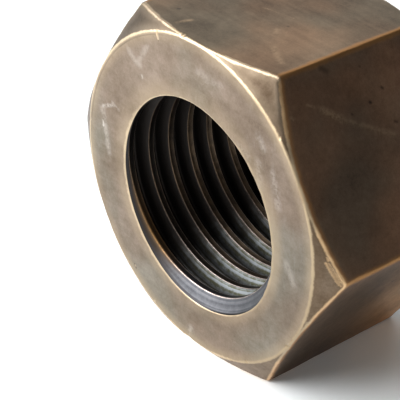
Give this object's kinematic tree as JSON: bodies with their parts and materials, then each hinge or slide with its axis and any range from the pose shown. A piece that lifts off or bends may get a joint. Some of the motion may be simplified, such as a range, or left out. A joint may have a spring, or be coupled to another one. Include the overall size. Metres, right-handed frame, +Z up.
{
  "type": "hex nut",
  "caption": "Thick hexagonal machine nut in aged bronze, chamfered at both ends, with a coarse left-hand thread.",
  "frame": {"origin": "on the thread axis, halfway between the two faces", "axes": "+Y along the thread axis from the front face to the back face, +Z up, square to the flat that the nut lies on, +X through a corner of the hexagon"},
  "size_m": [0.0692, 0.036, 0.06],
  "materials": {
    "bronze": "dark brown patina over bronze, rubbed bright along the edges"
  },
  "bodies": {
    "root": {"nut": "bronze"}
  },
  "joints": []
}
